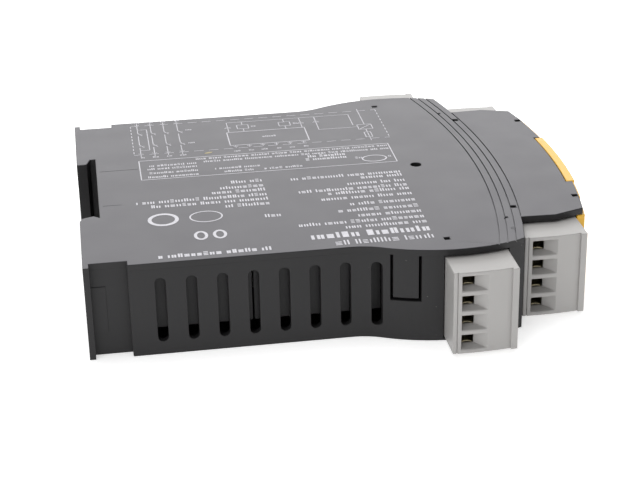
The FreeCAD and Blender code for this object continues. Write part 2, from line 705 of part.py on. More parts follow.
def make_plug(name):
    """Four-pole plug: wire funnels in its outer face, screw bores in its front side, contact chambers inside."""
    body = new_body("Plug" + name)
    profile = sketch_on(body, "XY_Plane", "Profile" + name)
    rib = "(plug_deep - rib_wide)"
    draw(profile, [
        ("0", "face_drop_rear", "face_radius", 1),
        (rib, "face_drop_front"),
        (rib, "rib_drop"),
        ("plug_deep", "rib_drop + rib_slope"),
        ("plug_deep", "plug_long"),
        ("0", "plug_long"),
    ])
    pad(body, profile, "Block" + name, "plug_wide", both=True)
    line = sketch_on(body, "XY_Plane", "Line" + name)
    draw(line, rectangle("line_start", "0", "line_start + line_wide", "face_drop_rear + line_deep"))
    pocket(body, line, "FineGroove" + name, "2 * plug_wide", both=True)

    entry = ("funnel_start + entry_inset", f"{FIRST_POLE} - entry_high / 2 + entry_rise",
             "funnel_start + entry_deep", f"{FIRST_POLE} + entry_high / 2 + entry_rise")
    mouth = ("funnel_start", f"{FIRST_POLE} - funnel_high / 2",
             "funnel_start + funnel_deep", f"{FIRST_POLE} + funnel_high / 2")
    funnel = body.newObject("PartDesign::SubtractiveWedge", "Funnel" + name)
    for edge, size in zip(("Xmin", "Zmin", "Xmax", "Zmax", "X2min", "Z2min", "X2max", "Z2max"), mouth + entry):
        funnel.setExpression(edge, bound(size))
    funnel.Ymin = 0
    funnel.setExpression("Ymax", bound("funnel_depth"))
    body.Tip = funnel
    entry_sketch = sketch_on(body, "XZ_Plane", "Entry" + name)
    draw(entry_sketch, rectangle(*entry))
    way_in = pocket(body, entry_sketch, "WireEntry" + name, "clamp_from")

    room = sketch_on(body, "XZ_Plane", "Room" + name, lift="-plug_long")
    half = "(clamp_wide / 2 + clamp_gap)"
    draw(room, rectangle("clamp_start - clamp_gap", f"{FIRST_POLE} - {half}",
                         f"{CLAMP_END} + clamp_gap", f"{FIRST_POLE} + {half}"))
    chamber = pocket(body, room, "Chamber" + name, "plug_long - clamp_from + clamp_gap", reverse=True)

    bore = sketch_on(body, "YZ_Plane", "BoreCircle" + name, lift="plug_deep")
    draw_circle(bore, SCREW_ACROSS, FIRST_POLE, "screw_radius + bore_gap")
    screw_bore = pocket(body, bore, "ScrewBore" + name, f"plug_deep - {CLAMP_END}")
    repeat(body, [funnel, way_in, chamber, screw_bore], (entry_sketch, ["V_Axis"]), "pole_pitch", "pole_count",
           "Poles" + name)
    return body


def make_screws(name):
    """Headless slotted clamp screws, one for each pole."""
    body = new_body("Screws" + name)
    outline = sketch_on(body, "YZ_Plane", "ScrewCircle" + name, lift="plug_deep - screw_sunk")
    draw_circle(outline, SCREW_ACROSS, FIRST_POLE, "screw_radius")
    shank = pad(body, outline, "Shank" + name, f"plug_deep - screw_sunk - ({CLAMP_END} - clamp_nut + clamp_gap)",
                reverse=True)
    slot = sketch_on(body, "YZ_Plane", "SlotLines" + name, lift="plug_deep - screw_sunk")
    draw(slot, rectangle(f"{SCREW_ACROSS} - 2 * screw_radius", f"{FIRST_POLE} - driver_slot / 2",
                         f"{SCREW_ACROSS} + 2 * screw_radius", f"{FIRST_POLE} + driver_slot / 2"))
    driven = pocket(body, slot, "Slot" + name, "driver_deep")
    repeat(body, [shank, driven], (slot, ["V_Axis"]), "pole_pitch", "pole_count", "AllScrews" + name)
    return body


def make_clamps(name):
    """Clamp cages, each with its screw side, whose thread is left plain and square, and the fork that grips the
    header's pin."""
    body = new_body("Clamps" + name)
    half = "clamp_wide / 2"
    outline = sketch_on(body, "XZ_Plane", "CageOutline" + name, lift="-clamp_from")
    draw(outline, rectangle("clamp_start", f"{FIRST_POLE} - {half}", CLAMP_END, f"{FIRST_POLE} + {half}"))
    cage = pad(body, outline, "Cage" + name, "clamp_long", reverse=True)
    window = sketch_on(body, "XZ_Plane", "CageWindow" + name, lift="-clamp_from")
    draw(window, rectangle("clamp_start + clamp_wall", f"{FIRST_POLE} - {half} + clamp_wall",
                           f"{CLAMP_END} - clamp_nut", f"{FIRST_POLE} + {half} - clamp_wall"))
    opening = pocket(body, window, "WireRoom" + name, "clamp_long")
    thread = sketch_on(body, "YZ_Plane", "ThreadRoom" + name, lift=CLAMP_END)
    room = "(screw_radius + screw_fit)"
    draw(thread, rectangle(f"{SCREW_ACROSS} - {room}", f"{FIRST_POLE} - {room}",
                           f"{SCREW_ACROSS} + {room}", f"{FIRST_POLE} + {room}"))
    tapped = pocket(body, thread, "Thread" + name, "clamp_nut")
    blades = sketch_on(body, "XZ_Plane", "ForkBlades" + name, lift="-(clamp_from + clamp_long - clamp_wall)")
    start, end = "contact_along - fork_wide / 2", "contact_along + fork_wide / 2"
    inner, outer = "(contact_side / 2 + contact_gap)", "(contact_side / 2 + contact_gap + fork_thick)"
    draw(blades, rectangle(start, f"{FIRST_POLE} - {outer}", end, f"{FIRST_POLE} - {inner}"))
    draw(blades, rectangle(start, f"{FIRST_POLE} + {inner}", end, f"{FIRST_POLE} + {outer}"))
    fork = pad(body, blades, "Fork" + name, "fork_long + clamp_wall", reverse=True)
    repeat(body, [cage, opening, tapped, fork], (outline, ["V_Axis"]), "pole_pitch", "pole_count",
           "AllClamps" + name)
    return body


def make_header(level):
    """Pin header behind the near plug of a level, seated on the tub's floor, and its four bent pins."""
    start, face = LEVELS[level]
    front_face = f"(-{face} + plug_long + header_gap)"
    base = block(f"HeaderBlock{level}",
                 (f"{start} + header_inset", front_face, "floor_thick"),
                 (f"{start} + plug_deep - header_inset", f"{front_face} + header_thick",
                  "bay_floor + plug_gap + plug_wide"))
    low = f"{start} + contact_along - contact_side / 2"
    high = f"{start} + contact_along + contact_side / 2"
    holes, pins = [], []
    for pole in range(int(number("pole_count"))):
        level_z = f"({PLUG_LEVEL} + {FIRST_POLE} + pole_pitch * {pole})"
        tail = f"(-{face} + tail_reach + tail_step * (pole_count - 1 - {pole}))"
        side = "contact_side / 2"
        run = block(f"PinRun{level}{pole}",
                    (low, f"-{face} + plug_long - contact_reach", f"{level_z} - {side}"),
                    (high, f"{tail} + {side}", f"{level_z} + {side}"))
        rise = block(f"PinRise{level}{pole}",
                     (low, f"{tail} - {side}", f"{level_z} - {side}"),
                     (high, f"{tail} + {side}", f"{TUB_HIGH} - solder_room + tail_proud"))
        pins.append(join(f"Pin{level}{pole}", [run, rise]))
        holes.append(block(f"PinHole{level}{pole}",
                           (f"{low} - contact_gap", f"{front_face} - header_gap",
                            f"{level_z} - {side} - contact_gap"),
                           (f"{high} + contact_gap", f"{front_face} + header_thick + header_gap",
                            f"{level_z} + {side} + contact_gap")))
    near_header = cut(f"Header{level}", base, group(f"PinHoles{level}", holes))
    near_pins = group(f"Pins{level}", pins)
    keep(near_header, f"header_{level}_near")
    keep(near_pins, f"pins_{level}_near")
    keep(mirrored(f"FarHeader{level}", near_header), f"header_{level}_far")
    keep(mirrored(f"FarPins{level}", near_pins), f"pins_{level}_far")


# ---------------------------------------------------------------- rail latch

def make_rail_latch():
    """Sliding foot that closes the rail seat, with a slot for its spring."""
    body = new_body("RailLatch")
    rear, front = "latch_front - latch_thick", "latch_front"
    outline = sketch_on(body, "XY_Plane", "LatchOutline", lift="latch_low")
    draw(outline, [
        (rear, "-rear_half + recess_deep + latch_gap"),
        (front, "-rear_half + recess_deep + latch_gap"),
        (front, "-seat_edge + tooth_root"),
        (f"{front} - tooth_back", "-latch_tooth"),
        (f"{rear} + tooth_lead", "-latch_tooth"),
        (rear, "-latch_tooth - tooth_ramp"),
    ])
    pad(body, outline, "Slider", "latch_wide")
    slot = sketch_on(body, "XZ_Plane", "SpringSlot", lift=f"{SPRING_SEAT} - spring_long - latch_gap")
    inset = "((latch_wide - spring_wide) / 2 - latch_gap)"
    draw(slot, rectangle(f"{rear} - latch_gap", f"latch_low + {inset}",
                         f"{front} + latch_gap", f"latch_low + latch_wide - {inset}"))
    pocket(body, slot, "SpringRoom", "spring_long + 2 * latch_gap + seat_thick", reverse=True)
    return keep(body, "rail_latch")


def make_latch_spring():
    """Folded strip between the seat post and the end of the latch's slot."""
    body = new_body("LatchSpring")
    rear = "(latch_front - latch_thick)"
    fold = "(latch_thick - spring_band)"
    step = "(spring_long / spring_legs)"
    path = [(f"{rear} + {fold} * {index % 2}", f"-{SPRING_SEAT} + {step} * {index}")
            for index in range(int(number("spring_legs")) + 1)]
    shifted = [(f"{along} + spring_band", across) for along, across in path]
    outline = sketch_on(body, "XY_Plane", "FoldOutline", lift="latch_low + (latch_wide - spring_wide) / 2")
    draw(outline, shifted + path[::-1])
    pad(body, outline, "Strip", "spring_wide")
    return keep(body, "latch_spring")


# ---------------------------------------------------------------- boards and components

BOARD_TOP = f"({TUB_HIGH} - solder_room)"
BOARD_UNDER = f"({BOARD_TOP} - board_thick)"
LAMP_LEVEL = f"({BOARD_UNDER} - lamp_side / 2)"


def make_main_board():
    body = new_body("MainBoard")
    outline = sketch_on(body, "XY_Plane", "BoardOutline", lift=BOARD_UNDER)
    rear_half, nose_half = "(rear_plug_face - board_reach)", "(front_plug_face - board_reach)"
    draw(outline, [
        ("board_start", f"-{rear_half}"), ("board_step", f"-{rear_half}"), ("board_step", f"-{nose_half}"),
        ("board_front", f"-{nose_half}"), ("board_front", nose_half), ("board_step", nose_half),
        ("board_step", rear_half), ("board_start", rear_half),
    ])
    pad(body, outline, "Board", "board_thick")
    holes = sketch_on(body, "XY_Plane", "TailHoles", lift=BOARD_TOP)
    half = "(contact_side / 2 + contact_gap)"
    for start, face in LEVELS.values():
        for sign in ("-", ""):
            for pole in range(int(number("pole_count"))):
                along = f"{start} + contact_along"
                across = f"{sign}({face} - tail_reach - tail_step * {pole})"
                draw(holes, rectangle(f"{along} - {half}", f"{across} - {half}",
                                      f"{along} + {half}", f"{across} + {half}"))
    pocket(body, holes, "Holes", "board_thick")
    return keep(body, "main_board")


def make_relays():
    """Two sealed switching relays, side by side under the board."""
    for index in range(2):
        start = f"relay_first + relay_step * {index}"
        case = block(f"RelayCase{index}", (start, "-relay_long / 2", f"{BOARD_UNDER} - relay_high"),
                     (f"{start} + relay_wide", "relay_long / 2", BOARD_UNDER))
        keep(case, f"relay_{index + 1}")


def make_transformer():
    """Flat laminated core with its coil around the middle limb."""
    middle = f"({BOARD_UNDER} - coil_high / 2)"
    low, high = f"{middle} - core_high / 2", f"{middle} + core_high / 2"
    core = block("CoreBlock", ("core_start", "-core_wide / 2", low), ("core_start + core_long", "core_wide / 2", high))
    windows = []
    for sign, name in (("-", "Near"), ("", "Far")):
        edges = [f"{sign}(core_wide / 2 - core_limb)", f"{sign}core_middle / 2"]
        near, far = edges if sign else edges[::-1]
        windows.append(block("CoreWindow" + name, ("core_start + core_limb", near, f"{low} - coil_gap"),
                             ("core_start + core_long - core_limb", far, f"{high} + coil_gap")))
    keep(cut("Core", core, group("CoreWindows", windows)), "transformer_core")
    wound = block("CoilBlock", ("core_start + core_limb + coil_gap", "-core_wide / 2 + core_limb + coil_gap",
                                f"{BOARD_UNDER} - coil_high"),
                  ("core_start + core_long - core_limb - coil_gap", "core_wide / 2 - core_limb - coil_gap",
                   BOARD_UNDER))
    eye = block("CoilEye", ("core_start", "-core_middle / 2 - coil_gap", f"{low} - coil_gap"),
                ("core_start + core_long", "core_middle / 2 + coil_gap", f"{high} + coil_gap"))
    keep(cut("Coil", wound, eye), "transformer_coil")


def make_small_parts():
    keep(rod("Can", "z", ("capacitor_along", "-capacitor_out", f"{BOARD_UNDER} - capacitor_high"),
             "capacitor_radius", "capacitor_high"), "capacitor")
    keep(block("VaristorCase", ("varistor_along", "varistor_out", f"{BOARD_UNDER} - varistor_high"),
               ("varistor_along + varistor_long", "varistor_out + varistor_wide", BOARD_UNDER)), "varistor")
    chips = []
    for index in range(2):
        start = f"(relay_first + relay_step * {index})"
        chips.append(block(f"Chip{index}",
                           (start, "-relay_long / 2 - chip_gap - chip_wide", f"{BOARD_UNDER} - chip_high"),
                           (f"{start} + chip_long", "-relay_long / 2 - chip_gap", BOARD_UNDER)))
    keep(group("Chips", chips), "logic_chips")
    keep(block("FuseCase", ("fuse_start", "-fuse_wide / 2", f"{BOARD_UNDER} - fuse_high"),
               ("fuse_start + fuse_deep", "fuse_wide / 2", BOARD_UNDER)), "fuse")


def make_setting_switch():
    """Small switch block behind the service window, with two sliders."""
    front = "(switch_start + switch_deep)"
    case = block("SwitchBlock", ("switch_start", "-switch_out - switch_wide / 2", f"{BOARD_UNDER} - switch_high"),
                 (front, "-switch_out + switch_wide / 2", BOARD_UNDER))
    low = f"({BOARD_UNDER} - switch_high / 2 - (slider_high + slider_travel) / 2)"
    rooms = []
    for index in range(2):
        middle = f"(-switch_out + slider_step * ({index} - 0.5))"
        near, far = f"{middle} - slider_wide / 2", f"{middle} + slider_wide / 2"
        rooms.append(block(f"SliderRoom{index}",
                           (f"{front} - slider_deep - slider_gap", f"{near} - slider_gap", f"{low} - slider_gap"),
                           (f"{front} + slider_gap", f"{far} + slider_gap",
                            f"{low} + slider_high + slider_travel + slider_gap")))
        keep(block(f"SliderBlock{index}", (f"{front} - slider_deep", near, low),
                   (f"{front} + slider_proud", far, f"{low} + slider_high")), f"setting_slider_{index + 1}")
    keep(cut("Switch", case, group("SliderRooms", rooms)), "setting_switch")


def make_lamps():
    """Indicator lamps on the board's front edge, and the light pipes that reach the front cover."""
    lamps, pipes = [], []
    for index in range(int(number("lamp_count"))):
        across = f"(lamp_first + lamp_step * {index})"
        lamps.append(block(f"Lamp{index}",
                           ("lamp_start", f"{across} - lamp_side / 2", f"{BOARD_UNDER} - lamp_side"),
                           ("lamp_start + lamp_deep", f"{across} + lamp_side / 2", BOARD_UNDER)))
        pipes.append(block(f"Pipe{index}",
                           ("lamp_start + lamp_deep", f"{across} - pipe_side / 2", f"{LAMP_LEVEL} - pipe_side / 2"),
                           (f"{on_front(FRONT_OUTER, across)} - pipe_gap", f"{across} + pipe_side / 2",
                            f"{LAMP_LEVEL} + pipe_side / 2")))
    keep(group("Lamps", lamps), "indicator_lamps")
    keep(group("Pipes", pipes), "light_pipes")


# ---------------------------------------------------------------- build and write

make_base_shell()
make_side_cover()
make_front_cover()
for level in LEVELS:
    for side in ("near", "far"):
        name = f"_{level}_{side}"
        for maker, label in ((make_plug, "plug"), (make_screws, "screws"), (make_clamps, "clamps")):
            piece = maker(name)
            place_at_plug(piece, level, side == "far")
            keep(piece, label + name)
    make_header(level)
make_rail_latch()
make_latch_spring()
make_main_board()
make_relays()
make_transformer()
make_small_parts()
make_setting_switch()
make_lamps()
doc.recompute()

failed = [thing.Name for thing in doc.Objects if {"Invalid", "Error"} & set(thing.State)]
bad = [thing.Label for thing in finished if thing.Shape.isNull() or not thing.Shape.isValid()]
if failed or bad:
    raise SystemExit(f"failed: {failed} bad shapes: {bad}")
os.makedirs("parts", exist_ok=True)
for thing in finished:
    thing.Shape.exportStep(f"parts/{thing.Label}.step")
    box = thing.Shape.BoundBox
    print(f"{thing.Label:20s} solids {len(thing.Shape.Solids)} volume {thing.Shape.Volume:9.1f}  "
          f"x {box.XMin:6.1f} {box.XMax:6.1f}  y {box.YMin:6.1f} {box.YMax:6.1f}  z {box.ZMin:5.1f} {box.ZMax:5.1f}")
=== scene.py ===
"""Looks of the slim safety relay: finishes, rounded edges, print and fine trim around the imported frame."""

import json
import math
import random

import bmesh
import bpy
from mathutils import Matrix, Vector


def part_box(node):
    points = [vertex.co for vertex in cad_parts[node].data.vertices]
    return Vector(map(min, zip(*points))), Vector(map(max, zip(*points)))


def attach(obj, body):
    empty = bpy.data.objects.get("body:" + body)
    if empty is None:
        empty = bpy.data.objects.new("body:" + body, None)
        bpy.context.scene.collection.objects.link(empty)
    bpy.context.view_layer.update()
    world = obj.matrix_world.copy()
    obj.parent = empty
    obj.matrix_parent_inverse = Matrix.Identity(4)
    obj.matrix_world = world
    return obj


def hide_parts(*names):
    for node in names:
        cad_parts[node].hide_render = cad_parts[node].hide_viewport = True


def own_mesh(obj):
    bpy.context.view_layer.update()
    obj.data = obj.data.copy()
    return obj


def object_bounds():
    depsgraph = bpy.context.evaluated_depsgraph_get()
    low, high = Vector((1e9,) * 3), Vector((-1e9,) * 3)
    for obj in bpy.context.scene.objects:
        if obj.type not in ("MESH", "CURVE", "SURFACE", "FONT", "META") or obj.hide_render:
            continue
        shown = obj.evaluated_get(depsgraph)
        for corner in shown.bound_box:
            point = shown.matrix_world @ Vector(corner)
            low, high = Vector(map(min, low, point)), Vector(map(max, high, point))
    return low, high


MM = 0.001

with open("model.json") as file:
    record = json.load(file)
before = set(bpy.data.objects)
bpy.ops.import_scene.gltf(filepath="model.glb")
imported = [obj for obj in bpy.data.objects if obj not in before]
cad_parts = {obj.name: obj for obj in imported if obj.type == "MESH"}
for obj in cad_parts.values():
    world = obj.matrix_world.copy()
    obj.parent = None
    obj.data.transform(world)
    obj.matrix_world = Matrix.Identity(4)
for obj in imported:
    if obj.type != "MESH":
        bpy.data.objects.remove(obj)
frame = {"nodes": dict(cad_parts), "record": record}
cad_low, cad_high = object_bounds()
BODY_OF = {node: body for body, nodes in frame["record"]["behaviour"]["bodies"].items() for node in nodes}
SLOT_OF = {part["node"]: part["material_slot"] for part in frame["record"]["subparts"]}
PLUGS = [node for node in frame["nodes"] if node.startswith("plug_")]


# ---------------------------------------------------------------- node trees

class Tree:
    """A material's node tree, with short calls for the nodes used here."""

    def __init__(self, name):
        self.material = bpy.data.materials.new(name)
        self.material.use_nodes = True
        self.nodes = self.material.node_tree.nodes
        self.links = self.material.node_tree.links
        self.shader = self.nodes["Principled BSDF"]
        self.place = self.nodes.new("ShaderNodeTexCoord").outputs["Object"]

    def put(self, socket, value):
        """Link another node's output to a socket, or set the socket's own value."""
        if isinstance(value, bpy.types.NodeSocket):
            self.links.new(value, socket)
        else:
            socket.default_value = value

    def fill(self, node, inputs):
        """Fill a node's inputs, which are named with _ for a space."""
        for name, value in inputs.items():
            self.put(node.inputs[name.replace("_", " ")], value)

    def add(self, kind, settings=None, **inputs):
        """A new shader node with its settings and inputs."""
        node = self.nodes.new("ShaderNode" + kind)
        for name, value in (settings or {}).items():
            setattr(node, name, value)
        self.fill(node, inputs)
        return node

    def surface(self, **inputs):
        """Fill the inputs of the material's own shader."""
        self.fill(self.shader, inputs)

    def noise(self, scale, detail=3, stretch=(1, 1, 1)):
        """Noise between 0 and 1, its scale in features per millimetre."""
        mapping = self.add("Mapping", Vector=self.place, Scale=stretch)
        return self.add("TexNoise", Vector=mapping.outputs[0], Scale=scale / MM, Detail=detail).outputs[0]

    def ramp(self, value, low, high, start=0.0, end=1.0):
        """The value stretched so that start..end becomes low..high."""
        node = self.add("MapRange", Value=value, From_Min=start, From_Max=end, To_Min=low, To_Max=high)
        return node.outputs[0]

    def calculate(self, operation, first, second):
        """One step of arithmetic on two values."""
        node = self.add("Math", {"operation": operation})
        self.put(node.inputs[0], first)
        self.put(node.inputs[1], second)
        return node.outputs[0]

    def mix(self, share, first, second):
        """The first colour, giving way to the second as the share grows."""
        node = self.add("Mix", {"data_type": "RGBA"}, Factor=share)
        self.put(node.inputs["A"], first)
        self.put(node.inputs["B"], second)
        return node.outputs["Result"]

    def bump(self, *layers):
        """Bumps on top of each other, each a height and a depth in millimetres."""
        normal = None
        for height, depth in layers:
            node = self.add("Bump", Height=height, Strength=1.0, Distance=depth * MM)
            if normal:
                self.put(node.inputs["Normal"], normal)
            normal = node.outputs[0]
        self.surface(Normal=normal)


DUST = (0.5, 0.5, 0.48, 1)
SHELL_BLACK = (0.0195, 0.019, 0.02)


def shade(color, factor):
    """A colour made darker or lighter, with its alpha."""
    return tuple(min(1.0, channel * factor) for channel in color) + (1.0,)


def moulded(name, color, roughness=0.45, grain=0.012, mottle=0.1, specular=0.5, tint=(1, 1, 1), dust=None):
    """Moulded plastic: fine spark-eroded grain, faint flow mottling and uneven gloss.

    Grain is in millimetres. Dust is how strong the pale specks are, and between which two places along X in
    millimetres they come in.
    """
    tree = Tree(name)
    broad = tree.noise(scale=0.06, detail=4)
    fine = tree.noise(scale=4.0, detail=2)
    smear = tree.noise(scale=0.12, detail=2)
    patches = tree.ramp(broad, 0, 1, start=0.3, end=0.7)
    tone = tree.mix(patches, shade(color, 1 - mottle), shade(color, 1 + mottle))
    if dust:
        strength, start, end = dust
        along = tree.add("SeparateXYZ", Vector=tree.place).outputs["X"]
        zone = tree.ramp(along, 0.12, 1, start * MM, end * MM)
        speck = tree.ramp(tree.noise(scale=1.3, detail=2), 0, strength, start=0.74, end=0.82)
        tone = tree.mix(tree.calculate("MULTIPLY", speck, zone), tone, DUST)
    broad_gloss = tree.ramp(smear, -0.02, 0.02, start=0.3, end=0.7)
    fine_gloss = tree.ramp(fine, -0.015, 0.015)
    gloss = tree.calculate("ADD", broad_gloss, fine_gloss)
    tree.surface(Base_Color=tone, Roughness=tree.calculate("ADD", gloss, roughness))
    tree.surface(Specular_IOR_Level=specular, Specular_Tint=(*tint, 1))
    tree.bump((fine, grain), (broad, grain))
    return tree.material


def metal(name, color, roughness, stretch=(1, 1, 6)):
    """Plated or drawn metal with fine lines and uneven shine."""
    tree = Tree(name)
    lines = tree.noise(scale=3.0, stretch=stretch)
    broad = tree.noise(scale=0.3)
    tone = tree.mix(tree.ramp(broad, 0, 1, start=0.3, end=0.7), shade(color, 0.85), shade(color, 1.1))
    shine = tree.ramp(lines, roughness - 0.08, roughness + 0.12, start=0.3, end=0.7)
    tree.surface(Base_Color=tone, Metallic=1.0, Roughness=shine)
    tree.bump((lines, 0.006))
    return tree.material


def printed(name, color):
    """Thin screen-printed ink with slightly uneven cover."""
    tree = Tree(name)
    cover = tree.noise(scale=2.5)
    tone = tree.mix(tree.ramp(cover, 0, 1, start=0.35, end=0.65), shade(color, 0.86), shade(color, 1.06))
    tree.surface(Base_Color=tone, Roughness=tree.ramp(cover, 0.4, 0.55))
    tree.bump((cover, 0.004))
    return tree.material


def clear(name, color):
    """Clear moulded light guide with faint haze."""
    tree = Tree(name)
    haze = tree.noise(scale=0.8)
    tone = tree.mix(haze, shade(color, 0.9), shade(color, 1.0))
    tree.surface(Base_Color=tone, Roughness=tree.ramp(haze, 0.05, 0.2))
    tree.surface(Transmission_Weight=0.85, IOR=1.49)
    return tree.material


FINISHES = {
    "housing": moulded("dark_shell", SHELL_BLACK, grain=0.008, mottle=0.08, specular=0.3, dust=(0.8, 66, 84)),
    # Side plate: the shell's dark plastic with a glossier finish. Its lighter base colour is painted light on
    # the upward faces.
    "side_plate": moulded("dark_plate_painted_light", (0.026, 0.0255, 0.028), 0.34, grain=0.002, mottle=0.05,
                          tint=(0.92, 0.885, 1.0)),
    "front": moulded("yellow_front", (0.82, 0.46, 0.03), 0.34, grain=0.005, mottle=0.03),
    "plug": moulded("grey_plug", (0.405, 0.395, 0.385), 0.42, grain=0.006, mottle=0.02),
    "screw": metal("zinc_screw", (0.5, 0.5, 0.5), 0.34),
    "clamp": metal("plated_cage", (0.42, 0.4, 0.32), 0.38),
    "header": moulded("black_header", (0.03, 0.03, 0.03)),
    "contact": metal("contact_pin", (0.7, 0.62, 0.42), 0.28),
    "latch": moulded("black_latch", SHELL_BLACK, grain=0.008, mottle=0.08, specular=0.3),
    "spring": metal("spring_steel", (0.6, 0.6, 0.6), 0.28),
    "board": moulded("green_board", (0.012, 0.1, 0.045), 0.35, grain=0.02, mottle=0.2),
    "relay": moulded("relay_case", (0.62, 0.62, 0.6), 0.42),
    "core": metal("varnished_core", (0.1, 0.1, 0.1), 0.5, stretch=(1, 1, 12)),
    "coil": moulded("coil_tape", (0.3, 0.24, 0.07), 0.4, grain=0.02),
    "capacitor": moulded("can_sleeve", (0.03, 0.03, 0.035), 0.32),
    "varistor": moulded("varistor_case", (0.03, 0.08, 0.25), 0.4),
    "chip": moulded("chip_epoxy", (0.03, 0.03, 0.03), 0.55),
    "fuse": moulded("fuse_case", (0.2, 0.14, 0.08), 0.42),
    "switch": moulded("red_switch", (0.4, 0.03, 0.025), 0.4),
    "slider": moulded("white_slider", (0.75, 0.75, 0.73), 0.4),
    "lamp": clear("lamp_lens", (0.8, 0.86, 0.8)),
    "light_pipe": clear("light_pipe", (0.88, 0.92, 0.9)),
}
INK = printed("white_ink", (0.6, 0.59, 0.63))
WITNESS = moulded("witness_mark", (0.012, 0.012, 0.014), 0.6, grain=0.004)
FLECK = moulded("tan_fleck", (0.42, 0.36, 0.2), 0.7, grain=0.01)


# ---------------------------------------------------------------- pieces made from the frame's nodes

def own_body(piece, node):
    """The piece rides with a node's body."""
    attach(piece, BODY_OF[node])


def new_piece(name, mesh, finish):
    """A new object in the scene with one finish."""
    mesh.materials.clear()
    mesh.materials.append(finish)
    piece = bpy.data.objects.new(name, mesh)
    bpy.context.scene.collection.objects.link(piece)
    return piece


def face_reach(face, edge):
    """How far a face runs from one of its edges, square to it."""
    origin = edge.verts[0].co
    direction = (edge.verts[1].co - origin).normalized()
    offsets = [vertex.co - origin for vertex in face.verts]
    return max((offset - direction * offset.dot(direction)).length for offset in offsets)


MERGE_WITHIN = 0.002 * MM
FLAT_WITHIN = math.radians(0.4)
SHARP_FROM = math.radians(35)
SMOOTH_BELOW = math.radians(30)
SEAM_WITHIN = 0.01 * MM
SHALLOW_WIDTHS = 4
ROUNDING_STEPS = 2


def rounded(node, width, narrow, seam=None, flanks=None):
    """The node's own form with rounded edges.

    Edges of shallow faces, and all edges at the seam's height, take the narrow width. Upright faces take the
    finish of the flanks' slot, where one is given.
    """
    mesh = bpy.data.meshes.new(node + "_form")
    form = bmesh.new()
    form.from_mesh(frame["nodes"][node].data)
    bmesh.ops.remove_doubles(form, verts=form.verts, dist=MERGE_WITHIN)
    bmesh.ops.dissolve_limit(form, angle_limit=FLAT_WITHIN, verts=form.verts, edges=form.edges)
    weights = form.edges.layers.float.new("bevel_weight_edge")
    for edge in form.edges:
        if len(edge.link_faces) != 2 or edge.calc_face_angle(0) < SHARP_FROM:
            continue
        at_seam = seam is not None and any(abs(vertex.co.z - seam) < SEAM_WITHIN for vertex in edge.verts)
        shallow = min(face_reach(face, edge) for face in edge.link_faces) < SHALLOW_WIDTHS * width
        edge[weights] = narrow / width if at_seam or shallow else 1.0
    form.to_mesh(mesh)
    form.free()
    piece = new_piece(node + "_skin", mesh, FINISHES[SLOT_OF[node]])
    if flanks:
        mesh.materials.append(FINISHES[flanks])
    for polygon in mesh.polygons:
        polygon.material_index = int(bool(flanks) and abs(polygon.normal.z) < 0.5)
        polygon.use_smooth = True
    bevel = piece.modifiers.new("Rounding", "BEVEL")
    bevel.limit_method = "WEIGHT"
    bevel.width = width
    bevel.segments = ROUNDING_STEPS
    bevel.use_clamp_overlap = False
    mesh.set_sharp_from_angle(angle=SMOOTH_BELOW)
    normals = piece.modifiers.new("Flatness", "WEIGHTED_NORMAL")
    normals.keep_sharp = True
    own_body(piece, node)
    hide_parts(node)


plate_low, plate_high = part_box("side_cover")
shell_low, shell_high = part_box("base_shell")
SEAM = shell_high.z

rounded("base_shell", width=0.12 * MM, narrow=0.03 * MM, seam=SEAM)
# The side plate's upward faces take its lighter finish, which is painted light. Its upright faces take the
# shell's own plastic.
rounded("side_cover", width=0.16 * MM, narrow=0, seam=SEAM, flanks="housing")
rounded("front_cover", width=0.2 * MM, narrow=0.08 * MM)
for plug in PLUGS:
    rounded(plug, width=0.18 * MM, narrow=0.06 * MM)
for node, solid in frame["nodes"].items():
    if not solid.hide_render:
        solid.data.materials.clear()
        solid.data.materials.append(FINISHES[SLOT_OF[node]])


# ---------------------------------------------------------------- closed forms

def loft(form, rings):
    """A closed solid in a bmesh, through rings of equally many points."""
    rings = [[form.verts.new(point) for point in ring] for ring in rings]
    form.faces.new(rings[0][::-1])
    form.faces.new(rings[-1])
    for before, after in zip(rings, rings[1:]):
        for index in range(len(before)):
            beside = (index + 1) % len(before)
            form.faces.new((before[index], before[beside], after[beside], after[index]))


def prism(form, outline, low, high):
    """A closed prism in a bmesh: an outline in XY between two heights."""
    loft(form, [[(x, y, z) for x, y in outline] for z in (low, high)])


def closed_piece(name, form, finish):
    """A new object from a bmesh, which is freed."""
    mesh = bpy.data.meshes.new(name)
    bmesh.ops.recalc_face_normals(form, faces=form.faces)
    form.to_mesh(mesh)
    form.free()
    return new_piece(name, mesh, finish)


# ---------------------------------------------------------------- print on the side plate

INK_LIFT = 0.01 * MM
INK_THICK = 0.015 * MM
LINE_WIDE = 0.19
FRAME_WIDE = 0.2
FINE_WIDE = 0.15
UPRIGHT_SIGNS = 0.6
SIGNS_IN_WORD = (3, 9)
SIGN_WIDTHS = (0.48, 0.54, 0.6)
SIGN_HEIGHTS = (1.0, 0.74, 0.74, 0.74)
SIGN_GAP = 0.2
WORD_GAP = 0.42
ROW_REST = 0.3
LABEL_HIGH = 0.9
LABEL_HALF = 0.8
random.seed(7)


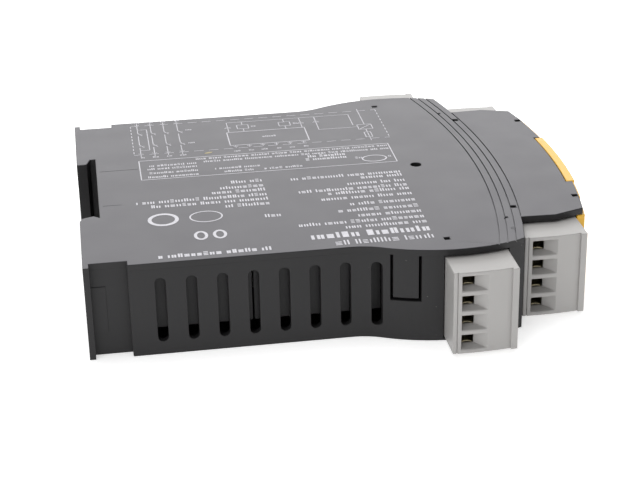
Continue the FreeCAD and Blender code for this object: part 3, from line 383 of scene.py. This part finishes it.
class Print:
    """Thin printed shapes on the side plate. Places are millimetres from the rear plane and the centre line.

    The sizes of signs and the gaps beside them are shares of their row's height.
    """

    def __init__(self, name):
        self.name = name
        self.form = bmesh.new()

    def patch(self, corners):
        """A flat printed patch with a little thickness."""
        low = plate_high.z + INK_LIFT
        prism(self.form, [(plate_low.x + x * MM, y * MM) for x, y in corners], low, low + INK_THICK)

    def bar(self, x, y, wide, high):
        """A printed rectangle from its corner."""
        self.patch([(x, y), (x + wide, y), (x + wide, y + high), (x, y + high)])

    def line(self, start, end, wide=LINE_WIDE):
        """A straight printed line."""
        start, end = Vector(start), Vector(end)
        ahead = end - start
        side = Vector((-ahead.y, ahead.x)).normalized() * wide / 2
        self.patch([start - side, end - side, end + side, start + side])

    def path(self, points, wide=LINE_WIDE):
        """Straight lines from point to point."""
        for start, end in zip(points, points[1:]):
            self.line(start, end, wide)

    def frame(self, left, low, right, high, wide=FRAME_WIDE):
        """The four sides of a rectangle."""
        self.path([(left, low), (right, low), (right, high), (left, high), (left, low)], wide)

    def dashes(self, start, end, dash, gap):
        """A dashed line, its last dash cut at the end."""
        start, end = Vector(start), Vector(end)
        ahead = end - start
        step = ahead.normalized()
        place = 0.0
        while place < ahead.length:
            stop = min(place + dash, ahead.length)
            self.line(start + step * place, start + step * stop, FRAME_WIDE)
            place += dash + gap

    def ring(self, x, y, across, along, wide, count=36):
        """An oval ring, its outer half sizes across X and along Y."""
        angles = [step * math.tau / count for step in range(count)]
        turn = [(math.cos(angle), math.sin(angle)) for angle in angles]
        inner_x, inner_y = across - wide, along - wide
        for (c0, s0), (c1, s1) in zip(turn, turn[1:] + turn[:1]):
            self.patch([(x + c0 * inner_x, y + s0 * inner_y), (x + c0 * across, y + s0 * along),
                        (x + c1 * across, y + s1 * along), (x + c1 * inner_x, y + s1 * inner_y)])

    def strokes(self, left, low, wide, high, thick):
        """One small sign of parted strokes: an upright, two uprights or three level ones."""
        if wide < 2 * thick:
            self.bar(left, low, thick, high)
        elif random.random() < UPRIGHT_SIGNS:
            self.bar(left, low, thick, high)
            self.bar(left + wide - thick, low, thick, high)
        else:
            for level in (0, (high - thick) / 2, high - thick):
                self.bar(left, low + level, wide, thick)

    def words(self, left, right, y, high, weight=0.2):
        """A row of small signs in word-like groups between two ends, centred on y."""
        place = right
        while place - left > high * ROW_REST:
            for _ in range(random.randint(*SIGNS_IN_WORD)):
                wide = high * random.choice((weight, *SIGN_WIDTHS))
                if place - wide < left:
                    break
                tall = high * random.choice(SIGN_HEIGHTS)
                self.strokes(place - wide, y - high / 2, wide, tall, high * weight)
                place -= wide + high * SIGN_GAP
            place -= high * WORD_GAP

    def label(self, x, y):
        """A short label of small signs, centred on a place."""
        self.words(x - LABEL_HALF, x + LABEL_HALF, y, LABEL_HIGH)

    def finish(self, ink=INK):
        """The print as a piece that rides with the side plate."""
        own_body(closed_piece(self.name, self.form, ink), "side_cover")


DIAGRAM_LEFT = 14.6
DIAGRAM_RIGHT = 80.5
DIAGRAM_LOW = 20.6
DIAGRAM_HIGH = 41.6
CONTACT_PATHS = (16.3, 19.8, 23.2, 26.8)
CONTACT_LINES = ((43.2, 36.2), (34.0, 27.6), (25.6, 19.3))
CONTACT_LEVELS = (36.2, 27.6)
BRIDGE = 18.7
TERMINAL_LEVEL = 20.8
UPPER_LABELS = 44.0
LOWER_LABELS = 18.6
SUPPLY_LEVEL = 39.4
SUPPLY_LEFT = 39.9
SUPPLY_MIDDLE = 59.3
SUPPLY_RIGHT = 72.7
UNIT_LEFT = 39.3
UNIT_RIGHT = 59.8
UNIT_LOW = 22.6
UNIT_HIGH = 32.1
COILS = (43.9, 55.0)
COIL_LOW = 34.3
COIL_HIGH = 37.1
COIL_HALF = 1.5
OUTLET_FIRST = 40.6
OUTLET_STEP = 3.5
OUTLET_COUNT = 6
INPUT_LEFT = 73.7
INPUT_RIGHT = 77.4
INPUT_LOW = 27.6
INPUT_HIGH = 31.1
INPUT_START = 63.4
INPUT_LEVEL = 29.6


def print_contacts(ink):
    """Four contact paths with two open contacts each, the first with a bridge beside it."""
    for x in CONTACT_PATHS:
        for upper, lower in CONTACT_LINES:
            ink.line((x, upper), (x, lower))
        for y in CONTACT_LEVELS:
            ink.line((x, y), (x + 1.1, y - 2.0))
            ink.line((x - 0.1, y - 0.9), (x + 1.2, y - 0.9), FINE_WIDE)
        for y in (DIAGRAM_HIGH, TERMINAL_LEVEL):
            ink.path([(x - 0.6, y + 0.7), (x, y), (x + 0.6, y + 0.7)], FINE_WIDE)
        for y in (UPPER_LABELS, LOWER_LABELS):
            ink.label(x, y)
    first = CONTACT_PATHS[0]
    ink.path([(first, 38.6), (BRIDGE, 38.6), (BRIDGE, 23.6), (first, 23.6)])
    for y in (36.4, 26.8):
        ink.words(28.6, 30.4, y, LABEL_HIGH)


def print_unit(ink):
    """The box of the logic unit, with the supply line, two coils and three small arrows above it."""
    ink.frame(UNIT_LEFT, UNIT_LOW, UNIT_RIGHT, UNIT_HIGH, wide=0.26)
    ink.words(48.0, 51.6, 27.6, high=1.0)
    ink.line((SUPPLY_LEFT, SUPPLY_LEVEL), (SUPPLY_RIGHT, SUPPLY_LEVEL))
    for x, low in ((SUPPLY_LEFT, UNIT_HIGH), (SUPPLY_MIDDLE, UNIT_HIGH), (INPUT_START, INPUT_LEVEL),
                   (SUPPLY_RIGHT, INPUT_HIGH)):
        ink.line((x, SUPPLY_LEVEL), (x, low))
    for x in COILS:
        ink.line((x, SUPPLY_LEVEL), (x, COIL_HIGH))
        ink.frame(x - COIL_HALF, COIL_LOW, x + COIL_HALF, COIL_HIGH)
        ink.line((x, COIL_LOW), (x, UNIT_HIGH))
        ink.words(x + 2.0, x + 3.4, 35.7, LABEL_HIGH)
    for x in (SUPPLY_LEFT, SUPPLY_MIDDLE, INPUT_START):
        ink.path([(x - 0.9, 35.2), (x, 36.4), (x + 0.9, 35.2), (x - 0.9, 35.2)], FINE_WIDE)


def print_outlets(ink):
    """The row of outlets below the logic unit."""
    for step in range(OUTLET_COUNT):
        x = OUTLET_FIRST + OUTLET_STEP * step
        ink.line((x, UNIT_LOW), (x, TERMINAL_LEVEL))
        ink.path([(x - 0.6, 22.0), (x, 21.2), (x + 0.6, 22.0)], FINE_WIDE)
        ink.label(x, LOWER_LABELS)


def print_input(ink):
    """The crossed box of the input, with its two lines and a small part on the lower one."""
    ink.line((INPUT_START, INPUT_LEVEL), (INPUT_LEFT, INPUT_LEVEL))
    ink.frame(INPUT_LEFT, INPUT_LOW, INPUT_RIGHT, INPUT_HIGH)
    ink.line((INPUT_LEFT, INPUT_LOW), (INPUT_RIGHT, INPUT_HIGH))
    ink.line((75.7, 43.0), (75.7, INPUT_HIGH))
    ink.line((75.5, INPUT_LOW), (75.5, 19.3))
    ink.frame(74.6, 21.8, 76.3, 25.4)


def print_diagram():
    """A plain made-up wiring diagram inside a dashed frame."""
    ink = Print("print_diagram")
    for y in (DIAGRAM_HIGH, DIAGRAM_LOW):
        ink.dashes((DIAGRAM_LEFT, y), (DIAGRAM_RIGHT, y), dash=2.4, gap=1.4)
    for x in (DIAGRAM_LEFT, DIAGRAM_RIGHT):
        ink.dashes((x, DIAGRAM_HIGH), (x, DIAGRAM_LOW), dash=1.3, gap=1.05)
    print_contacts(ink)
    print_unit(ink)
    print_outlets(ink)
    print_input(ink)
    ink.finish()


# A row of print is its rear end, its front end and its place across the plate.
TABLE_ROWS = (
    (28.9, 78.6, 15.1), (30.7, 78.6, 13.0), (17.1, 29.6, 12.5), (17.1, 29.6, 10.4), (17.1, 29.6, 7.7),
    (17.1, 29.6, 5.1), (33.2, 45.1, 7.7), (35.0, 43.2, 5.4), (45.4, 55.4, 5.4), (68.8, 70.9, 8.0))
TABLE_ROW_HIGH = 1.25


def print_table():
    """A framed block of small rows with a plain ring beside them."""
    ink = Print("print_table")
    ink.frame(15.5, 3.6, 79.1, 16.3, wide=0.24)
    for left, right, y in TABLE_ROWS:
        ink.words(left, right, y, TABLE_ROW_HIGH)
    for y in (11.2, 9.2):
        ink.words(56.5, 67.1, y, high=1.5, weight=0.22)
    ink.ring(73.9, 6.8, across=3.2, along=2.2, wide=0.35)
    ink.words(77.0, 78.2, 7.5, high=1.0)
    ink.finish()


NOTE_ROWS = (
    (36.1, 44.3, -1.9), (33.6, 44.3, -5.1), (31.0, 44.4, -7.7), (13.0, 44.4, -10.7), (16.6, 44.4, -13.4),
    (33.8, 44.4, -16.3), (51.1, 78.4, -2.9), (67.5, 78.4, -5.0), (63.7, 78.4, -8.4), (51.8, 78.4, -11.3),
    (58.4, 78.4, -13.6), (55.7, 78.4, -16.8), (62.1, 78.4, -20.7), (59.3, 78.4, -24.3), (63.6, 78.4, -27.5),
    (48.6, 78.4, -30.7), (59.6, 78.4, -33.6), (42.1, 46.1, -23.7))
NOTE_ROW_HIGH = 1.75


def print_notes():
    """Rows of small and large print, and four plain rings."""
    ink = Print("print_notes")
    for left, right, y in NOTE_ROWS:
        ink.words(left, right, y, NOTE_ROW_HIGH)
    ink.words(50.4, 78.2, -37.5, high=3.0, weight=0.24)
    ink.words(54.6, 78.2, -41.8, high=2.4, weight=0.15)
    ink.words(15.7, 41.6, -41.6, high=1.9, weight=0.23)
    ink.ring(19.1, -21.4, across=3.6, along=3.6, wide=0.9)
    ink.ring(29.0, -21.4, across=3.9, along=3.2, wide=0.35)
    for x in (26.9, 31.2):
        ink.ring(x, -31.9, across=1.6, along=2.4, wide=0.7)
    ink.finish()


def mark_plate():
    """Faint mould lines beside the rail notch, a small round dimple and a stray fleck of dirt."""
    marks = Print("witness_marks")
    marks.line((5.5, 11.1), (15.0, 11.15), wide=0.1)
    marks.line((5.6, -10.7), (10.0, -10.7), wide=0.07)
    marks.ring(96.8, -41.4, across=0.55, along=0.6, wide=0.16, count=20)
    marks.finish(WITNESS)
    fleck = Print("dirt_fleck")
    fleck.patch([(32.2, 18.3), (33.0, 18.2), (34.1, 18.6), (34.4, 19.2), (33.5, 19.3), (32.6, 18.9)])
    fleck.finish(FLECK)


print_diagram()
print_table()
print_notes()
mark_plate()


# ---------------------------------------------------------------- trim

def trim(name, node, form, width, finish=None):
    """A small added piece with rounded edges, which rides with a node and takes its finish."""
    piece = closed_piece(name, form, FINISHES[finish or SLOT_OF[node]])
    bevel = piece.modifiers.new("Rounding", "BEVEL")
    bevel.limit_method = "ANGLE"
    bevel.width = width
    bevel.segments = ROUNDING_STEPS
    own_body(piece, node)


FRONT_RADIUS = 176 * MM
FRONT_APEX = 118.75 * MM
RIM_REACH = 26.4 * MM
RIM_HIGH = 1.5 * MM
RIM_INSET = 0.25 * MM
RIM_PROUD = 0.3 * MM
RIM_AIR = 0.01 * MM
RIM_STEPS = 40
RIM_ROUNDING = 0.06 * MM


def make_front_rims():
    """The front's thin lips, which cover the front edges of both side plates."""
    steps = [RIM_REACH * (2 * step / RIM_STEPS - 1) for step in range(RIM_STEPS + 1)]
    bow = [FRONT_APEX - FRONT_RADIUS + math.sqrt(FRONT_RADIUS ** 2 - y ** 2) for y in steps]
    inner = [(x + RIM_AIR, y) for x, y in zip(bow, steps)]
    outer = [(x + RIM_PROUD, y) for x, y in zip(bow, steps)]
    upper = plate_high.z - RIM_INSET - RIM_HIGH
    lower = shell_low.z + RIM_INSET
    for name, low in (("front_lip_upper", upper), ("front_lip_lower", lower)):
        form = bmesh.new()
        prism(form, inner + outer[::-1], low, low + RIM_HIGH)
        trim(name, "front_cover", form, RIM_ROUNDING)


CAP_OVER = 0.55 * MM
CAP_THICK = 0.14 * MM
CAP_AIR = 0.02 * MM
CAP_START = 0.9 * MM
CAP_ROUNDING = 0.05 * MM
LATCH_GAP = 0.3 * MM


def make_latch_cap():
    """The latch's end plate, which closes its opening in the end recess flush with the wall."""
    low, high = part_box("rail_latch")
    wall = low.y - LATCH_GAP - CAP_AIR
    left, right = max(low.x - CAP_OVER, shell_low.x + CAP_START), high.x + CAP_OVER
    plate = [(left, wall - CAP_THICK), (right, wall - CAP_THICK), (right, wall), (left, wall)]
    neck = [(low.x, wall - CAP_AIR), (high.x, wall - CAP_AIR), (high.x, low.y), (low.x, low.y)]
    form = bmesh.new()
    prism(form, plate, low.z - CAP_OVER, high.z + CAP_OVER)
    prism(form, neck, low.z, high.z)
    trim("latch_end_plate", "rail_latch", form, CAP_ROUNDING)


REAR_HALF = 44.5 * MM
WALL = 1.8 * MM
SKIRT_GAP = 0.9 * MM
SKIRT_THICK = 0.8 * MM
SKIRT_LOW = 5.35 * MM
SKIRT_SPANS = ((13.6 * MM, 37.0 * MM), (37.35 * MM, 66.2 * MM))
SKIRT_ROUNDING = 0.1 * MM


def make_skirts():
    """The side plate's inner skirts, which stand close behind the vent slots of both walls."""
    outer = REAR_HALF - WALL - SKIRT_GAP
    inner = outer - SKIRT_THICK
    for side, sign in (("near", -1), ("far", 1)):
        for count, (start, end) in enumerate(SKIRT_SPANS, 1):
            outline = [(start, sign * inner), (end, sign * inner), (end, sign * outer), (start, sign * outer)]
            form = bmesh.new()
            prism(form, outline, SKIRT_LOW, SEAM)
            trim(f"cover_skirt_{side}_{count}", "side_cover", form, SKIRT_ROUNDING, "housing")


POLES = 4
POLE_PITCH = 4.75 * MM
LIP_START = 0.45 * MM
LIP_END = 2.95 * MM
LIP_RISE = 0.3 * MM
LIP_BELOW = 1.2 * MM
LIP_THICK = 0.18 * MM
LIP_PROUD = 0.35 * MM
LIP_STEPS = 10
LIP_ROUNDING = 0.05 * MM


def make_cage_lips(clamps):
    """The rolled lower lips of a plug's four wire cages, bright in the wire entries."""
    low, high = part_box(clamps)
    face, proud = (low.y, low.y - LIP_PROUD) if low.y < 0 else (high.y, high.y + LIP_PROUD)
    first = low.z + (high.z - low.z - (POLES - 1) * POLE_PITCH) / 2
    form = bmesh.new()
    for pole in range(POLES):
        base = first + pole * POLE_PITCH - LIP_BELOW
        rings = []
        for step in range(LIP_STEPS + 1):
            share = step / LIP_STEPS
            x = low.x + LIP_START + (LIP_END - LIP_START) * share
            z = base + LIP_RISE * math.sin(math.pi * share)
            rings.append([(x, face, z), (x, proud, z), (x, proud, z + LIP_THICK), (x, face, z + LIP_THICK)])
        loft(form, rings)
    trim(clamps.replace("clamps", "cage_lips"), clamps, form, LIP_ROUNDING, "contact")


def make_spring():
    """The latch's folded spring, a copy of the node's own form that rides with its body."""
    spring = new_piece("folded_spring", frame["nodes"]["latch_spring"].data.copy(), FINISHES["spring"])
    own_body(spring, "latch_spring")
    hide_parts("latch_spring")
    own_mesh(spring)


make_front_rims()
make_latch_cap()
make_skirts()
for plug in PLUGS:
    make_cage_lips(plug.replace("plug", "clamps"))
make_spring()


# ---------------------------------------------------------------- floor, lights and camera

FLOOR_HALF = 3.0
FLOOR_DROP = 0.02 * MM
FLOOR_GLOW = 0.5


def make_floor():
    """A pale light table, which keeps the shadow faint."""
    mesh = bpy.data.meshes.new("floor")
    corners = ((-1, -1), (1, -1), (1, 1), (-1, 1))
    points = [(x * FLOOR_HALF, y * FLOOR_HALF, cad_low.z - FLOOR_DROP) for x, y in corners]
    mesh.from_pydata(points, [], [(0, 1, 2, 3)])
    tree = Tree("studio_floor")
    cloud = tree.noise(scale=0.004)
    tone = tree.mix(cloud, (0.9, 0.9, 0.9, 1), (0.93, 0.93, 0.93, 1))
    tree.surface(Base_Color=tone, Roughness=tree.ramp(cloud, 0.75, 0.9))
    tree.surface(Emission_Color=(1, 1, 1, 1), Emission_Strength=FLOOR_GLOW)
    floor = new_piece("floor", mesh, tree.material)


def add_light(name, place, size, power):
    """A white studio panel, which faces the part's middle. Place and size in metres, power in watts."""
    lamp = bpy.data.lights.new(name, "AREA")
    lamp.shape = "RECTANGLE"
    lamp.size, lamp.size_y = size
    lamp.energy = power
    holder = bpy.data.objects.new(name, lamp)
    holder.location = place
    holder.rotation_mode = "QUATERNION"
    ahead = (cad_low + cad_high) / 2 - Vector(place)
    holder.rotation_quaternion = ahead.to_track_quat("-Z", "Y")
    bpy.context.scene.collection.objects.link(holder)


WORLD_STRENGTH = 0.33


def make_world():
    """Even white light from all round."""
    world = bpy.data.worlds.new("studio")
    world.use_nodes = True
    background = world.node_tree.nodes["Background"]
    background.inputs["Color"].default_value = (1, 1, 1, 1)
    background.inputs["Strength"].default_value = WORLD_STRENGTH
    bpy.context.scene.world = world


VIEW_AZIMUTH = math.radians(-8.40)
VIEW_ELEVATION = math.radians(24.50)
VIEW_ROLL = math.radians(-1.12)
VIEW_DISTANCE = 392.19 * MM
VIEW_TARGET = Vector((56.56, -14.51, 11.0)) * MM
VIEW_LENS = 91.744
VIEW_SENSOR = 36
VIEW_NEAREST = 10 * MM


def make_camera():
    """The camera, placed by its direction, roll and distance from its target."""
    back = Vector((math.sin(VIEW_AZIMUTH) * math.cos(VIEW_ELEVATION),
                   -math.cos(VIEW_AZIMUTH) * math.cos(VIEW_ELEVATION), math.sin(VIEW_ELEVATION)))
    right = Vector((math.cos(VIEW_AZIMUTH), math.sin(VIEW_AZIMUTH), 0))
    up = back.cross(right)
    turned_right = right * math.cos(VIEW_ROLL) + up * math.sin(VIEW_ROLL)
    turned_up = up * math.cos(VIEW_ROLL) - right * math.sin(VIEW_ROLL)
    lens = bpy.data.cameras.new("view")
    lens.lens = VIEW_LENS
    lens.sensor_width = VIEW_SENSOR
    lens.clip_start = VIEW_NEAREST
    camera = bpy.data.objects.new("view", lens)
    turn = Matrix((turned_right, turned_up, back)).transposed().to_4x4()
    camera.matrix_world = Matrix.Translation(VIEW_TARGET + back * VIEW_DISTANCE) @ turn
    bpy.context.scene.collection.objects.link(camera)
    bpy.context.scene.camera = camera


make_floor()
make_world()
add_light("overhead", place=(0.05, 0.25, 0.9), size=(0.9, 0.9), power=6.6)
add_light("backdrop", place=(0.06, 1.3, 0.6), size=(2.2, 0.9), power=11.8)
add_light("key", place=(-0.5, -0.7, 0.6), size=(0.6, 0.6), power=2.6)
make_camera()
bpy.context.scene.view_settings.view_transform = "Standard"
